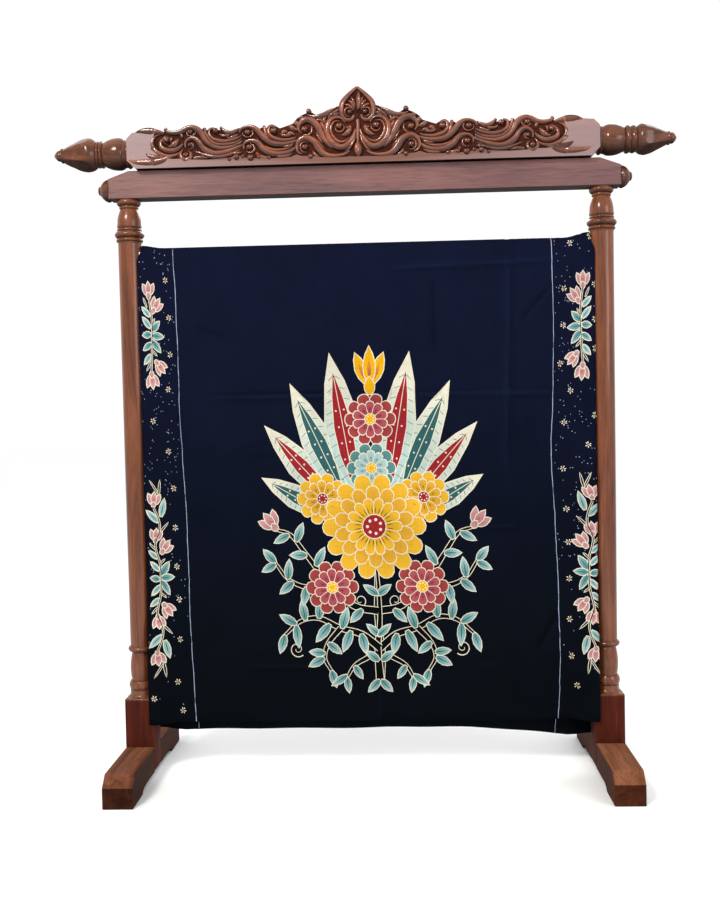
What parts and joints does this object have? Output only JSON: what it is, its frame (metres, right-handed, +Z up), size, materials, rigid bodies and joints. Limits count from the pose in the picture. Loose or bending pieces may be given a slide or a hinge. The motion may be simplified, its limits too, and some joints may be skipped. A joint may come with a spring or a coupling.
{
  "type": "batik cloth hung on a carved wooden display stand",
  "caption": "Dyed cotton cloth with flowered borders, doubled over the rod of a free-standing turned and carved wooden stand on sled feet.",
  "frame": {"origin": "on the floor, midway between the two posts and under the rod", "axes": "+Z up, +X to the right along the rod seen from the cloth's face, +Y from the cloth's face to its back"},
  "size_m": [1.4966, 0.5, 1.65],
  "materials": {
    "dyed_cotton": "matt dyed cotton with wax-resist drawing",
    "varnished_teak": "satin varnish"
  },
  "bodies": {
    "root": {"batik_cloth": "dyed_cotton", "cloth_rod": "varnished_teak", "post_left": "varnished_teak", "post_right": "varnished_teak", "foot_left_front": "varnished_teak", "foot_left_back": "varnished_teak", "foot_right_front": "varnished_teak", "foot_right_back": "varnished_teak", "top_rail": "varnished_teak", "rail_knob_left": "varnished_teak", "rail_knob_right": "varnished_teak", "crest_board": "varnished_teak", "finial_left": "varnished_teak", "finial_right": "varnished_teak"}
  },
  "joints": []
}
